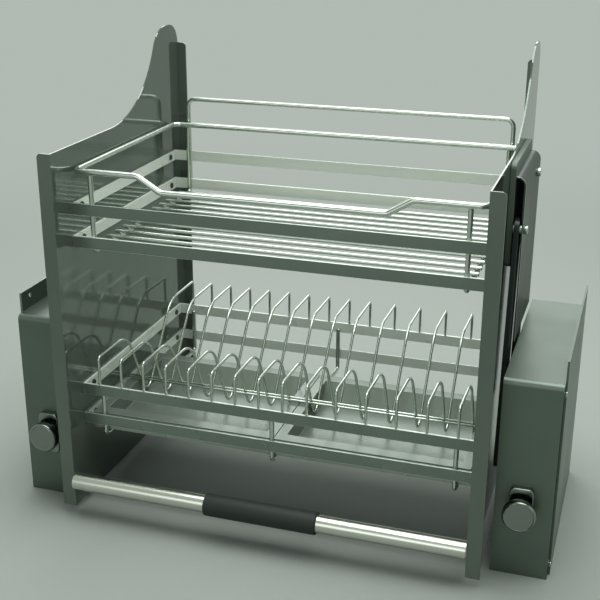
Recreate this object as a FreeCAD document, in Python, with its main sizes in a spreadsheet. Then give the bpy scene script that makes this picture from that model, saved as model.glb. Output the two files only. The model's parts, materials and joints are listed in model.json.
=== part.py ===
import FreeCAD, Part

import math
import os
import re

from FreeCAD import Placement, Rotation, Vector

# Pull-down dish rack: two spring housings that screw to the walls of a wall cabinet, two swinging arms
# on each, and a wire rack between two side plates that the arms carry forward and down, always level.
# X runs to the right, Y to the back and Z up. The origin is under the middle of the whole rack, on the
# plane that the two housings stand on. Right-hand pieces are drawn, and left-hand ones mirror them.

doc = FreeCAD.newDocument("DishRack")
sheet = doc.addObject("Spreadsheet::Sheet", "Sizes")
FUNCTIONS = ("sin", "cos", "tan", "sqrt")

# Two points closer than this are one point
TOUCHING = 1e-6

SIZES = {
    # Side plates of the rack
    "plate_sheet": 1.5,
    "plate_bottom": 10.3,
    "plate_depth": 301.0,
    "plate_shoulder": 388.5,
    "plate_peak": 477.0,
    "peak_width": 53.4,
    "rise_radius": 124.0,
    "rise_angle": 64.0,
    "peak_radius": 34.0,
    "rear_radius": 22.0,
    "front_flange": 14.2,
    "rear_flange": 10.5,
    "flange_corner": 4.5,
    # Spring housings, one against each wall of the cabinet
    "cabinet_width": 564.0,
    "housing_width": 57.0,
    "housing_front": 35.5,
    "housing_back_gap": 42.8,
    "housing_height": 205.0,
    "housing_edge": 6.0,
    "cover_sheet": 1.5,
    "mounting_sheet": 2.0,
    "mounting_setback": 9.5,
    "mounting_rise": 20.6,
    "mounting_hole": 2.25,
    "mounting_hole_inset": 17.4,
    "mounting_hole_drop": 7.7,
    # Pillars and screws that close the housings
    "pillar_radius": 4.0,
    "pillar_inset": 12.0,
    "screw_radius": 2.0,
    "screw_head": 4.0,
    "screw_length": 12.0,
    "screw_sink": 1.2,
    # Swinging arms and their shafts
    "front_pivot_depth": 95.0,
    "front_pivot_height": 95.0,
    "rear_pivot_depth": 179.0,
    "rear_pivot_height": 131.0,
    "arm_lean": 26.0,
    "arm_rise": 227.0,
    "arm_thick": 5.0,
    "arm_half": 12.0,
    "shaft_radius": 6.0,
    "shaft_proud": 0.6,
    "shaft_end_gap": 0.5,
    "running_gap": 0.05,
    "bush_radius": 9.0,
    "end_bush_length": 6.0,
    "side_gap": 0.3,
    # Counterbalance inside each housing
    "crank_reach": 38.0,
    "crank_thick": 6.0,
    "crank_half": 6.0,
    "crank_boss": 11.0,
    "crank_pin": 3.0,
    "spring_spread": 10.0,
    "spring_radius": 6.0,
    "spring_wire": 1.2,
    "spring_hook": 10.0,
    "anchor_depth": 64.0,
    "anchor_thick": 8.0,
    "anchor_half_height": 6.0,
    "anchor_half_width": 16.5,
    "damper_radius": 20.0,
    "damper_length": 12.5,
    "buffer_radius": 5.0,
    "buffer_drop": 23.0,
    # Force adjuster on the front of each housing
    "knob_across": 25.5,
    "knob_height": 75.0,
    "knob_radius": 16.0,
    "knob_length": 8.0,
    "knob_bevel": 1.8,
    "knob_dish": 0.6,
    "knob_neck": 9.7,
    "knob_neck_length": 5.5,
    "surround_width": 22.5,
    "surround_height": 46.0,
    "surround_thick": 7.0,
    "surround_corner": 5.0,
    "tension_screw": 3.0,
    "screw_hole_gap": 0.4,
    # Link bracket and cover on each side plate
    "bracket_front_lap": 5.0,
    "bracket_back_lap": 29.0,
    "bracket_rise": 28.0,
    "bracket_drop": 38.0,
    "bracket_thick": 5.8,
    "bracket_corner": 6.0,
    "link_sheet": 1.5,
    "link_rise": 16.5,
    "link_drop": 111.0,
    "link_front_lap": 8.0,
    "link_back_lap": 25.0,
    "link_gap": 1.0,
    "link_edge": 9.0,
    "arm_inner_gap": 1.7,
    "arm_outer_gap": 2.0,
    "pin_radius": 5.0,
    "pin_neck": 3.5,
    "pin_head": 4.4,
    "pin_head_length": 3.6,
    # Flat-bar rings of the two baskets
    "ring_front": 32.0,
    "ring_back_gap": 19.5,
    "ring_bar": 2.5,
    "ring_height": 12.0,
    "upper_ring_top": 333.3,
    "upper_ring_low": 299.6,
    "lower_ring_top": 139.1,
    "lower_ring_low": 105.4,
    "ring_screw_inset": 17.5,
    "ring_screw_head": 3.4,
    "ring_screw_proud": 1.4,
    # Wires of the upper basket
    "rail_radius": 3.0,
    "rail_inset": 3.5,
    "rail_height": 365.0,
    "rail_dip": 15.0,
    "rail_dip_inset": 95.5,
    "rail_slope": 24.0,
    "rail_bend": 10.0,
    "rail_set_forward": 1.25,
    "rod_radius": 2.5,
    "rod_inset": 20.5,
    "rod_bend": 7.0,
    "upper_rod_drop": 3.6,
    "shelf_wire": 2.0,
    "shelf_inset": 15.5,
    "shelf_start": 57.5,
    "shelf_pitch": 18.0,
    "shelf_count": 12,
    "hoop_inset": 18.5,
    "hoop_height": 393.5,
    "hoop_bend": 9.0,
    # Wires and trays of the lower basket
    "divider_wire": 1.5,
    "divider_height": 170.0,
    "divider_small_bend": 4.0,
    "divider_large_bend": 24.0,
    "divider_low_bend": 11.0,
    "divider_front_corner": 98.5,
    "divider_low_corner": 142.0,
    "divider_low_height": 79.2,
    "divider_rear_corner": 213.4,
    "divider_inset": 19.0,
    "divider_pitch": 25.0,
    "divider_count": 10,
    "bowl_pitch": 30.0,
    "bowl_count": 5,
    "brace_wire": 1.25,
    "weld_gap": 0.05,
    "tray_inner": 0.4,
    "tray_outer_gap": 6.3,
    "tray_front_gap": 1.0,
    "tray_depth": 163.5,
    "tray_top": 104.0,
    "tray_deep": 20.0,
    "tray_rim": 12.0,
    "tray_end_rim": 9.4,
    "tray_slope": 13.0,
    "tray_wall": 0.8,
    "tray_skirt": 18.5,
    # Handle bar
    "bar_depth": 2.5,
    "bar_height": 39.0,
    "bar_radius": 9.0,
    "bar_wall": 1.2,
    "plug_length": 18.0,
    "grip_radius": 11.5,
    "grip_half": 59.0,
    "grip_chamfer": 1.2,
    "handle_screw_back": 4.5,
    "handle_screw_head": 3.8,
    "handle_screw_proud": 2.2,
}

for row, (alias, number) in enumerate(SIZES.items(), 1):
    sheet.set("A%d" % row, alias)
    sheet.set("B%d" % row, str(number))
    sheet.setAlias("B%d" % row, alias)

# Places that several pieces share, each worked out from the sizes and from other places
PLACES = {
    "front": "(grip_radius - bar_depth - plate_depth) / 2",
    "housing_outer": "cabinet_width / 2",
    "housing_inner": "housing_outer - housing_width",
    "housing_start": "front + housing_front",
    "housing_back": "front + plate_depth - housing_back_gap",
    "mounting_inner": "housing_outer - mounting_sheet",
    "wall_inner": "housing_inner + cover_sheet",
    "link_outer": "housing_inner - link_gap",
    "link_inner": "link_outer - link_sheet",
    "arm_outer": "link_inner - arm_outer_gap",
    "arm_start": "arm_outer - arm_thick",
    "bracket_outer": "arm_start - arm_inner_gap",
    "plate_outer": "bracket_outer - bracket_thick",
    "plate_inner": "plate_outer - plate_sheet",
    "front_y": "front + front_pivot_depth",
    "rear_y": "front + rear_pivot_depth",
    "front_pin_y": "front_y + arm_lean",
    "rear_pin_y": "rear_y + arm_lean",
    "front_pin_z": "front_pivot_height + arm_rise",
    "rear_pin_z": "rear_pivot_height + arm_rise",
    "shaft_start": "arm_start - shaft_proud",
    "shaft_length": "mounting_inner - shaft_end_gap - shaft_start",
    "bush_start": "arm_outer + side_gap",
    "end_bush_start": "mounting_inner - end_bush_length",
    "crank_pin_z": "rear_pivot_height - crank_reach",
    "knob_x": "housing_inner + knob_across",
    "screw_start": "housing_start - surround_thick",
    "screw_hole": "tension_screw + screw_hole_gap",
    "anchor_back": "front + anchor_depth + anchor_thick",
    "ring_start": "front + ring_front",
    "ring_back": "front + plate_depth - ring_back_gap",
    "front_rod_y": "ring_start + ring_bar + rod_radius",
    "rear_rod_y": "ring_back - ring_bar - rod_radius",
    "rod_across": "plate_inner - rod_inset",
    "upper_rod_z": "upper_ring_low - ring_height - upper_rod_drop",
    "shelf_half": "plate_inner - shelf_inset",
    "tray_start": "front_rod_y + rod_radius + tray_front_gap",
    "bar_y": "front + bar_depth",
    "handle_screw_y": "bar_y + handle_screw_back",
}


def words(expression):
    """Work out the places in an expression and write the sheet's name before each of its aliases."""
    def named(match):
        word = match.group(0)
        if word in FUNCTIONS:
            return word
        return "(" + words(PLACES[word]) + ")" if word in PLACES else "Sizes." + word
    return re.sub(r"[a-z][a-z_]+", named, expression)


def value(expression):
    """The number that an expression in the sheet's names gives."""
    result = sheet.evalExpression(words(expression))
    return float(getattr(result, "Value", result))


def bind(thing, **formulas):
    """Bind properties of an object to expressions in the sheet's names."""
    for name, formula in formulas.items():
        thing.setExpression(name, words(formula))
    return thing


def put(thing, x, y, z):
    """Bind the place of an object to three expressions."""
    for letter, formula in zip("xyz", (x, y, z)):
        thing.setExpression("Placement.Base." + letter, words(formula))
    return thing


def box(name, x, y, z, length, width, height):
    """A block from its lowest corner."""
    block = doc.addObject("Part::Box", name)
    bind(block, Length=length, Width=width, Height=height)
    return put(block, x, y, z)


TURNS = {
    "X": Rotation(Vector(0, 0, 1), Vector(1, 0, 0)),
    "Y": Rotation(Vector(0, 0, 1), Vector(0, 1, 0)),
    "Z": Rotation(),
}


def rod(name, along, x, y, z, radius, length):
    """A round bar from the centre of its first end."""
    bar = doc.addObject("Part::Cylinder", name)
    bar.Placement = Placement(Vector(), TURNS[along])
    bind(bar, Radius=radius, Height=length)
    return put(bar, x, y, z)


def faceted(name, along, x, y, z, radius, length, sides=8):
    """A bar with flat sides, for straight wires, shanks, heads and plain round pieces."""
    bar = doc.addObject("Part::Prism", name)
    bar.Placement = Placement(Vector(), TURNS[along])
    bar.Polygon = sides
    bind(bar, Circumradius=radius, Height=length)
    return put(bar, x, y, z)


def round_hole(name, along, x, y, z, radius, length):
    """The tool for a hole whose twelve flats lie just outside a round bar of this radius."""
    return faceted(name, along, x, y, z, "(" + radius + ") / cos(180 / 12)", length, 12)


def chamfered(name, base, distance, wanted):
    """A piece with its wanted edges cut off by the same distance on both sides."""
    doc.recompute()
    result = doc.addObject("Part::Chamfer", name)
    result.Base = base
    places = [place for place, edge in enumerate(base.Shape.Edges, 1) if wanted(edge)]
    result.Edges = [(place, distance, distance) for place in places]
    return result


def cut(name, base, *tools):
    """A piece less one or more others."""
    result = doc.addObject("Part::Cut", name)
    result.Base = base
    result.Tool = tools[0] if len(tools) == 1 else fuse(name + "_tools", *tools)
    return result


def fuse(name, *pieces):
    """Pieces joined as one, or kept as a group of solids where they do not meet."""
    result = doc.addObject("Part::MultiFuse", name)
    result.Shapes = list(pieces)
    return result


def group(name, *pieces):
    """Separate solids that share one node."""
    result = doc.addObject("Part::Compound", name)
    result.Links = list(pieces)
    return result


nodes = {}


def node(name, thing):
    """Name a finished sub-part."""
    thing.Label = name
    nodes[name] = thing
    return thing


def mirrored(name, thing):
    """The left-hand twin of a right-hand piece."""
    twin = doc.addObject("Part::Mirroring", name)
    twin.Source = thing
    twin.Normal = Vector(1, 0, 0)
    return node(name, twin)


def pair(name, thing):
    """A right-hand sub-part and its left-hand twin."""
    node("right_" + name, thing)
    mirrored("left_" + name, thing)
    return thing


def corner_points(points):
    """The two tangent points and the middle of the arc that rounds each corner of a closed outline."""
    rounded = []
    for index, (here, radius) in enumerate(points):
        before = points[index - 1][0] - here
        after = points[(index + 1) % len(points)][0] - here
        if radius <= 0:
            rounded.append((here, here, here))
            continue
        before.normalize()
        after.normalize()
        half = before.getAngle(after) / 2
        reach = radius / math.tan(half)
        middle = before + after
        middle.normalize()
        centre = here + middle * (radius / math.sin(half))
        rounded.append((here + before * reach, centre - middle * radius, here + after * reach))
    return rounded


def outline(points, chords=0):
    """Lines and arcs, or arcs drawn as chords, round a closed outline of (across, up, corner radius)."""
    corners = corner_points([(Vector(a, b, 0), radius) for a, b, radius in points])
    edges = []
    for index, (start, middle, end) in enumerate(corners):
        if start.distanceToPoint(end) > TOUCHING:
            arc = Part.Arc(start, middle, end)
            stops = arc.toShape().discretize(chords + 1) if chords else []
            edges += [Part.LineSegment(*run) for run in zip(stops, stops[1:])] or [arc]
        following = corners[(index + 1) % len(corners)][0]
        if end.distanceToPoint(following) > TOUCHING:
            edges.append(Part.LineSegment(end, following))
    return edges


def sketch(body, name, plane, shift, edges):
    """A sketch on one of a body's own planes, shifted along its normal."""
    drawn = body.newObject("Sketcher::SketchObject", name)
    support = [feature for feature in body.Origin.OriginFeatures if feature.Role == plane][0]
    drawn.AttachmentSupport = [(support, "")]
    drawn.MapMode = "FlatFace"
    drawn.setExpression("AttachmentOffset.Base.z", words(shift))
    drawn.addGeometry(edges, False)
    return drawn


def flats(across, up, radius, sides=12):
    """A hole in a sketch whose flats lie just outside a round bar of this radius."""
    reach = radius / math.cos(math.pi / sides)
    corners = []
    for index in range(sides + 1):
        angle = 2 * math.pi * index / sides
        corners.append(Vector(across + reach * math.cos(angle), up + reach * math.sin(angle), 0))
    return [Part.LineSegment(*run) for run in zip(corners, corners[1:])]


def circle(across, up, radius):
    """A round hole in a sketch."""
    return Part.Circle(Vector(across, up, 0), Vector(0, 0, 1), radius)


def pad(body, name, plane, shift, edges, length, reverse=False):
    """A plate drawn as a closed outline and given its thickness."""
    feature = body.newObject("PartDesign::Pad", name)
    feature.Profile = sketch(body, name + "_outline", plane, shift, edges)
    feature.Reversed = reverse
    bind(feature, Length=length)
    return feature


def path(points, bend, step, closed=False):
    """The points of a bent wire: straight runs, and bends turned in equal steps of about one angle."""
    corners = [(Vector(*point[:3]), point[3] if len(point) > 3 else bend) for point in points]
    if not closed:
        corners[0] = (corners[0][0], 0)
        corners[-1] = (corners[-1][0], 0)
    line = []
    for start, middle, end in corner_points(corners):
        if start.distanceToPoint(end) < TOUCHING:
            line.append(start)
            continue
        arc = Part.Arc(start, middle, end).toShape()
        turn = math.degrees(arc.Length / arc.Curve.Radius)
        count = max(1, round(turn / step))
        line += arc.discretize(count + 1)
    return line


def section(centre, heading, across, radius, sides):
    """The flat-sided outline of a wire, square to its heading."""
    up = heading.cross(across)
    up.normalize()
    corners = []
    for index in range(sides):
        angle = 2 * math.pi * (index + 0.5) / sides
        corners.append(centre + across * (radius * math.cos(angle)) + up * (radius * math.sin(angle)))
    return Part.makePolygon(corners + corners[:1])


def bent_wire(points, radius, bend, across, step=45.0, sides=8, closed=False):
    """A wire bent along a path in one plane: across is that plane's normal."""
    line = path(points, bend, step, closed)
    if closed:
        line.insert(0, (line[-1] + line[0]) / 2)
        line.append(line[0])
    heading = line[1] - line[0]
    heading.normalize()
    spine = Part.makePolygon(line)
    return spine.makePipeShell([section(line[0], heading, across, radius, sides)], True, False, 1)


def shaped(name, shape):
    """A piece whose form is worked out from the sheet with Part's own functions."""
    thing = doc.addObject("Part::Feature", name)
    thing.Shape = shape
    return thing


doc.recompute()

front = value("front")


# Side plates: sheet metal with a high rear shoulder, a front flange turned out and a rear one turned in
def side_plate():
    """The plate and its two flanges: the rear one ends where the plate's rear corner starts to round."""
    body = doc.addObject("PartDesign::Body", "side_plate_body")
    foot = value("plate_bottom")
    depth = value("plate_depth")
    angle = math.radians(value("rise_angle"))
    shoulder = value("plate_shoulder")
    peak = value("plate_peak")
    crest = depth - value("peak_width")
    bend = crest - (peak - shoulder) / math.tan(angle)
    edges = outline([
        (front, foot, 0),
        (front + depth, foot, 0),
        (front + depth, peak, value("rear_radius")),
        (front + crest, peak, value("peak_radius")),
        (front + bend, shoulder, value("rise_radius")),
        (front, shoulder, 0),
    ])
    pad(body, "side_sheet", "YZ_Plane", "plate_inner", edges, "plate_sheet")
    inner = value("plate_inner")
    reach = inner + value("front_flange")
    corner = value("flange_corner")
    edges = outline([(inner, foot, 0), (reach, foot, 0), (reach, shoulder, corner), (inner, shoulder, 0)])
    pad(body, "front_flange_sheet", "XZ_Plane", "-front - plate_sheet", edges, "plate_sheet")
    tip = inner - value("rear_flange")
    outer = inner + value("plate_sheet")
    top = peak - value("rear_radius")
    edges = outline([(tip, foot, 0), (outer, foot, 0), (outer, top, 0), (tip, top, corner)])
    pad(body, "rear_flange_sheet", "XZ_Plane", "-front - plate_depth", edges, "plate_sheet")
    return body


# The rings of the baskets are screwed to the side plates near both ends of each of their side bars
RING_TOPS = ("upper_ring_top", "upper_ring_low", "lower_ring_top", "lower_ring_low")
RING_SCREW_DEPTHS = ("ring_start + ring_screw_inset", "ring_back - ring_screw_inset")
RING_SCREWS = [(depth, top + " - ring_height / 2") for top in RING_TOPS for depth in RING_SCREW_DEPTHS]
HANDLE_SCREW = ("handle_screw_y", "bar_height")

side_holes = [faceted("side_hole", "X", "plate_inner", y, z, "screw_radius", "plate_sheet", 6)
              for y, z in RING_SCREWS]
side_holes.append(faceted("handle_hole", "X", "plate_inner", *HANDLE_SCREW, "screw_radius", "plate_sheet"))
pair("side_plate", cut("side_plate_cut", side_plate(), *side_holes))


# Link bracket: the thick pressed pad on the outer face of each side plate that carries the two pivot pins
def link_bracket():
    """The pad, rounded at its corners, round the places of the two pins."""
    body = doc.addObject("PartDesign::Body", "link_bracket_body")
    start = value("front_pin_y - bracket_front_lap")
    end = value("rear_pin_y + bracket_back_lap")
    corner = value("bracket_corner")
    low = value("front_pin_z - bracket_drop")
    high = value("rear_pin_z + bracket_rise")
    edges = outline([(start, low, corner), (end, low, corner), (end, high, corner), (start, high, corner)], 4)
    pad(body, "bracket_pad", "YZ_Plane", "plate_outer", edges, "bracket_thick")
    return body


pair("link_bracket", link_bracket())


# Link cover: one bent sheet over the top ends of the arms, open at its front, foot and back
def link_cover():
    """The sheet's bent section run along the depth."""
    body = doc.addObject("PartDesign::Body", "link_cover_body")
    inner = value("bracket_outer")
    outer = value("link_outer")
    top = value("rear_pin_z + link_rise")
    low = value("front_pin_z - link_drop")
    wall = value("link_sheet")
    edge = value("link_edge")
    edges = outline([
        (inner, top, 0),
        (inner, top - wall, 0),
        (outer - wall, top - wall, edge - wall),
        (outer - wall, low, 0),
        (outer, low, 0),
        (outer, top, edge),
    ])
    pad(body, "cover_sheet_bend", "XZ_Plane", "-rear_pin_y - link_back_lap", edges,
        "rear_pin_y - front_pin_y + link_front_lap + link_back_lap")
    return body


PINS = (("front_pin_y", "front_pin_z"), ("rear_pin_y", "rear_pin_z"))
pin_holes = [faceted("pin_hole", "X", "link_inner", y, z, "pin_neck", "link_sheet") for y, z in PINS]
pair("link_cover", cut("link_cover_cut", link_cover(), *pin_holes))

# Pivot pins: round shouldered rivets from the bracket to the cover, with a keyed neck and a head outside
pins = []
for y, z in PINS:
    shoulder = rod("pin_shoulder", "X", "bracket_outer", y, z, "pin_radius", "link_inner - bracket_outer")
    neck = faceted("pin_neck", "X", "link_inner", y, z, "pin_neck", "link_sheet")
    head = faceted("pin_head", "X", "link_outer", y, z, "pin_head", "pin_head_length", 12)
    pins.append(fuse("pivot_pin", shoulder, neck, head))
pair("pivot_pins", group("pivot_pin_group", *pins))


# Swinging arms: flat steel bars with round ends, pressed on their shafts at the foot
def arm(name, pivot_y, pivot_z):
    """A bar with a hole for its shaft and a running hole for its pivot pin."""
    body = doc.addObject("PartDesign::Body", name + "_body")
    foot = Vector(value(pivot_y), value(pivot_z), 0)
    reach = Vector(value("arm_lean"), value("arm_rise"), 0)
    head = foot + reach
    reach.normalize()
    half = value("arm_half")
    along = reach * half
    side = Vector(-along.y, along.x, 0)
    corners = [foot - along + side, head + along + side, head + along - side, foot - along - side]
    edges = outline([(corner.x, corner.y, half) for corner in corners], 4)
    edges += flats(foot.x, foot.y, value("shaft_radius"))
    edges += flats(head.x, head.y, value("pin_radius + running_gap"))
    pad(body, name + "_bar", "YZ_Plane", "arm_start", edges, "arm_thick")
    return body


pair("front_arm", arm("front_arm", "front_y", "front_pivot_height"))
pair("rear_arm", arm("rear_arm", "rear_y", "rear_pivot_height"))

# Shafts: each runs from its arm through the housing wall to a bearing at the mounting plate
PIVOTS = (("front_y", "front_pivot_height"), ("rear_y", "rear_pivot_height"))
for name, (y, z) in zip(("front_shaft", "rear_shaft"), PIVOTS):
    pair(name, rod(name + "_bar", "X", "shaft_start", y, z, "shaft_radius", "shaft_length"))


# Bushes: nylon blocks keyed in the housing wall that space the arms off it and carry the shafts
def bush(name, start, end, y, z, radius):
    """A faceted sleeve bored with a running gap."""
    length = end + " - " + start
    sleeve = faceted(name, "X", start, y, z, radius, length)
    bore = round_hole(name, "X", start, y, z, "shaft_radius + running_gap", length)
    return cut(name + "_cut", sleeve, bore)


right_bushes = [
    bush("front_bush", "bush_start", "wall_inner", "front_y", "front_pivot_height", "bush_radius"),
    bush("rear_bush", "bush_start", "wall_inner", "rear_y", "rear_pivot_height", "bush_radius"),
    bush("rear_end_bush", "end_bush_start", "mounting_inner", "rear_y", "rear_pivot_height", "bush_radius"),
]


def both_sides(name, pieces):
    """One node for like pieces of both housings."""
    right = group(name + "_right", *pieces)
    left = doc.addObject("Part::Mirroring", name + "_left")
    left.Source = right
    left.Normal = Vector(1, 0, 0)
    return node(name, group(name + "_all", right, left))


both_sides("shaft_bushes", right_bushes)

# Pillars tie each cover to its mounting plate, and sunk screws close them from outside
PILLAR_YS = ("housing_start + pillar_inset", "housing_back - pillar_inset")
PILLAR_ZS = ("pillar_inset", "housing_height - pillar_inset")


def at_pillars(make):
    """One piece at each of the four pillars of the right housing."""
    return [make(y, z) for y in PILLAR_YS for z in PILLAR_ZS]


def pillar(y, z):
    """A hexagonal spacer with a blind hole for its screw."""
    start = "mounting_inner - screw_length"
    whole = faceted("pillar", "X", "wall_inner", y, z, "pillar_radius", "mounting_inner - wall_inner", 6)
    hole = faceted("pillar_hole", "X", start, y, z, "screw_radius", "screw_length", 6)
    return cut("pillar_cut", whole, hole)


def cover_screw(y, z):
    """A screw whose head is sunk flush in the mounting plate."""
    shank = faceted("cover_screw_shank", "X", "mounting_inner - screw_length", y, z, "screw_radius",
                    "screw_length + mounting_sheet - screw_sink", 6)
    head = faceted("cover_screw_head", "X", "housing_outer - screw_sink", y, z, "screw_head", "screw_sink", 6)
    return fuse("cover_screw_whole", shank, head)


both_sides("spacer_pillars", at_pillars(pillar))
right_screws = at_pillars(cover_screw)
both_sides("cover_screws", right_screws)


# Housing cover: a deep-drawn sheet box, open towards the mounting plate, with rounded top edges
def housing_cover():
    """The outer box less its hollow."""
    body = doc.addObject("PartDesign::Body", "housing_cover_body")
    start = value("housing_start")
    end = value("housing_back")
    top = value("housing_height")
    edge = value("housing_edge")
    wall = value("cover_sheet")
    edges = outline([(start, 0, 0), (end, 0, 0), (end, top, edge), (start, top, edge)])
    pad(body, "cover_box", "YZ_Plane", "housing_inner", edges, "housing_width - mounting_sheet")
    hollow = outline([
        (start + wall, wall, 0),
        (end - wall, wall, 0),
        (end - wall, top - wall, edge - wall),
        (start + wall, top - wall, edge - wall),
    ])
    pocket = body.newObject("PartDesign::Pocket", "cover_hollow")
    pocket.Profile = sketch(body, "cover_hollow_outline", "YZ_Plane", "housing_inner + cover_sheet", hollow)
    pocket.Reversed = True
    bind(pocket, Length="housing_width")
    return body


cover_holes = [faceted("screw_wall_hole", "Y", "knob_x", "housing_start", "knob_height", "screw_hole",
                       "cover_sheet")]
for y, z in PIVOTS:
    cover_holes.append(faceted("bush_wall_hole", "X", "housing_inner", y, z, "bush_radius", "cover_sheet"))
pair("housing_cover", cut("housing_cover_cut", housing_cover(), *cover_holes))


# Mounting plate: the flat back of each housing, taller than the cover, screwed to the cabinet's wall
def mounting_plate():
    """The plate with its two fixing holes along the top."""
    body = doc.addObject("PartDesign::Body", "mounting_plate_body")
    start = value("housing_start + mounting_setback")
    end = value("housing_back")
    top = value("housing_height + mounting_rise")
    inset = value("mounting_hole_inset")
    hole_z = top - value("mounting_hole_drop")
    edges = outline([(start, 0, 0), (end, 0, 0), (end, top, 0), (start, top, 0)])
    for across in (start + inset, end - inset):
        edges.append(circle(across, hole_z, value("mounting_hole")))
    pad(body, "mounting_sheet_plate", "YZ_Plane", "mounting_inner", edges, "mounting_sheet")
    return body


# The cover's front pillars stand behind the plate's front edge, so every screw passes through the plate
pair("mounting_plate", cut("mounting_plate_cut", mounting_plate(), *right_screws))


# Crank lever: pressed on the rear shaft inside the housing, it pulls the springs as the rack comes down
def crank_lever():
    """A hanging lever with its boss and the cross pin that the springs hook on."""
    body = doc.addObject("PartDesign::Body", "crank_lever_body")
    y = value("rear_y")
    z = value("rear_pivot_height")
    half = value("crank_half")
    boss = value("crank_boss")
    low = z - value("crank_reach") - half
    edges = outline([
        (y - half, low, 0),
        (y + half, low, 0),
        (y + boss, z, 0),
        (y + half, z + boss, 0),
        (y - half, z + boss, 0),
        (y - boss, z, 0),
    ])
    edges += flats(y, z, value("shaft_radius"))
    pad(body, "crank_bar", "YZ_Plane", "knob_x - crank_thick / 2", edges, "crank_thick")
    return body


crank_pin = faceted("crank_cross_pin", "X", "knob_x - spring_spread - spring_radius / 2", "rear_y",
                    "crank_pin_z", "crank_pin", "2 * spring_spread + spring_radius")
pair("crank_lever", fuse("crank_lever_whole", crank_lever(), crank_pin))


# Counterbalance springs: two extension springs between the spring anchor and the crank's cross pin
def spring(across):
    """A close-wound body with a straight hook at each end."""
    anchor = Vector(across, value("anchor_back"), value("knob_height"))
    pin = Vector(across, value("rear_y"), value("crank_pin_z"))
    along = pin - anchor
    length = along.Length - value("crank_pin")
    along.normalize()
    hook = value("spring_hook")
    gap = value("side_gap")
    side = Vector(1, 0, 0)

    def bar(start, end, radius, sides):
        drawn = section(anchor + along * start, along, side, radius, sides)
        return Part.Face(drawn).extrude(along * (end - start))

    coil = bar(hook, length - hook, value("spring_radius"), 12)
    return coil.fuse(bar(gap, length - gap, value("spring_wire"), 6))


middle_x = value("knob_x")
spread = value("spring_spread")
springs = Part.makeCompound([spring(middle_x - spread), spring(middle_x + spread)])
pair("extension_springs", shaped("extension_spring_pair", springs))

# Spring anchor: the block that the tension screw draws forward to stiffen the springs
anchor_block = box("anchor_block", "knob_x - anchor_half_width", "front + anchor_depth",
                   "knob_height - anchor_half_height", "2 * anchor_half_width", "anchor_thick",
                   "2 * anchor_half_height")
anchor_hole = faceted("anchor_hole", "Y", "knob_x", "front + anchor_depth", "knob_height", "screw_hole",
                      "anchor_thick")
pair("spring_anchor", cut("spring_anchor_cut", anchor_block, anchor_hole))

# Tension screw: turned by the knob, it ends at the back of the anchor
pair("tension_screw", rod("tension_screw_bar", "Y", "knob_x", "screw_start", "knob_height", "tension_screw",
                          "anchor_back - screw_start"))


# Knob: a round head with a bevelled rim and a shallow dished face, on a neck. Rims that a chamfer takes off
# are found by their place, to within the slack.
KNOB_SIDES = 24
EDGE_SLACK = 0.001


def adjuster_knob():
    """The head, chamfered round its face and hollowed a little, and the neck behind it."""
    start = "screw_start - knob_neck_length - knob_length"
    head = faceted("knob_head", "Y", "knob_x", start, "knob_height", "knob_radius", "knob_length", KNOB_SIDES)
    face = value(start)
    bevel = value("knob_bevel")
    head = chamfered("knob_rim", head, bevel, lambda edge: edge.BoundBox.YMax < face + EDGE_SLACK)
    dish = faceted("knob_dish", "Y", "knob_x", start, "knob_height", "knob_radius - knob_bevel - knob_dish",
                   "knob_dish", KNOB_SIDES)
    neck = faceted("knob_neck", "Y", "knob_x", "screw_start - knob_neck_length", "knob_height", "knob_neck",
                   "knob_neck_length", KNOB_SIDES)
    return fuse("knob_whole", cut("knob_face", head, dish), neck)


pair("adjuster_knob", adjuster_knob())


# Knob surround: the raised rounded block between the knob and the housing
def knob_surround():
    """A rounded block bored for the tension screw."""
    body = doc.addObject("PartDesign::Body", "knob_surround_body")
    across = value("knob_x")
    up = value("knob_height")
    half = value("surround_width") / 2
    tall = value("surround_height") / 2
    corner = value("surround_corner")
    edges = outline([
        (across - half, up - tall, corner),
        (across + half, up - tall, corner),
        (across + half, up + tall, corner),
        (across - half, up + tall, corner),
    ], 4)
    pad(body, "surround_block", "XZ_Plane", "-housing_start", edges, "surround_thick - side_gap")
    hole = faceted("surround_hole", "Y", "knob_x", "screw_start", "knob_height", "screw_hole",
                   "surround_thick")
    return cut("knob_surround_cut", body, hole)


pair("knob_surround", knob_surround())

# Rotary damper: fixed on the mounting plate round the front shaft, it slows the rack near its ends
DAMPER_START = "mounting_inner - damper_length"
damper_case = faceted("damper_case", "X", DAMPER_START, *PIVOTS[0], "damper_radius", "damper_length", 16)
damper_bore = round_hole("damper_bore", "X", DAMPER_START, *PIVOTS[0], "shaft_radius + running_gap",
                         "damper_length")
pair("rotary_damper", cut("rotary_damper_cut", damper_case, damper_bore))

# Stop buffers: rubber posts in front of the cranks, where the rack comes to rest in its raised place
stop_buffer = faceted("stop_buffer", "X", "wall_inner",
                      "rear_y - crank_boss - buffer_radius - side_gap", "rear_pivot_height - buffer_drop",
                      "buffer_radius", "knob_across - cover_sheet + crank_thick / 2")
both_sides("stop_buffers", [stop_buffer])


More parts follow.
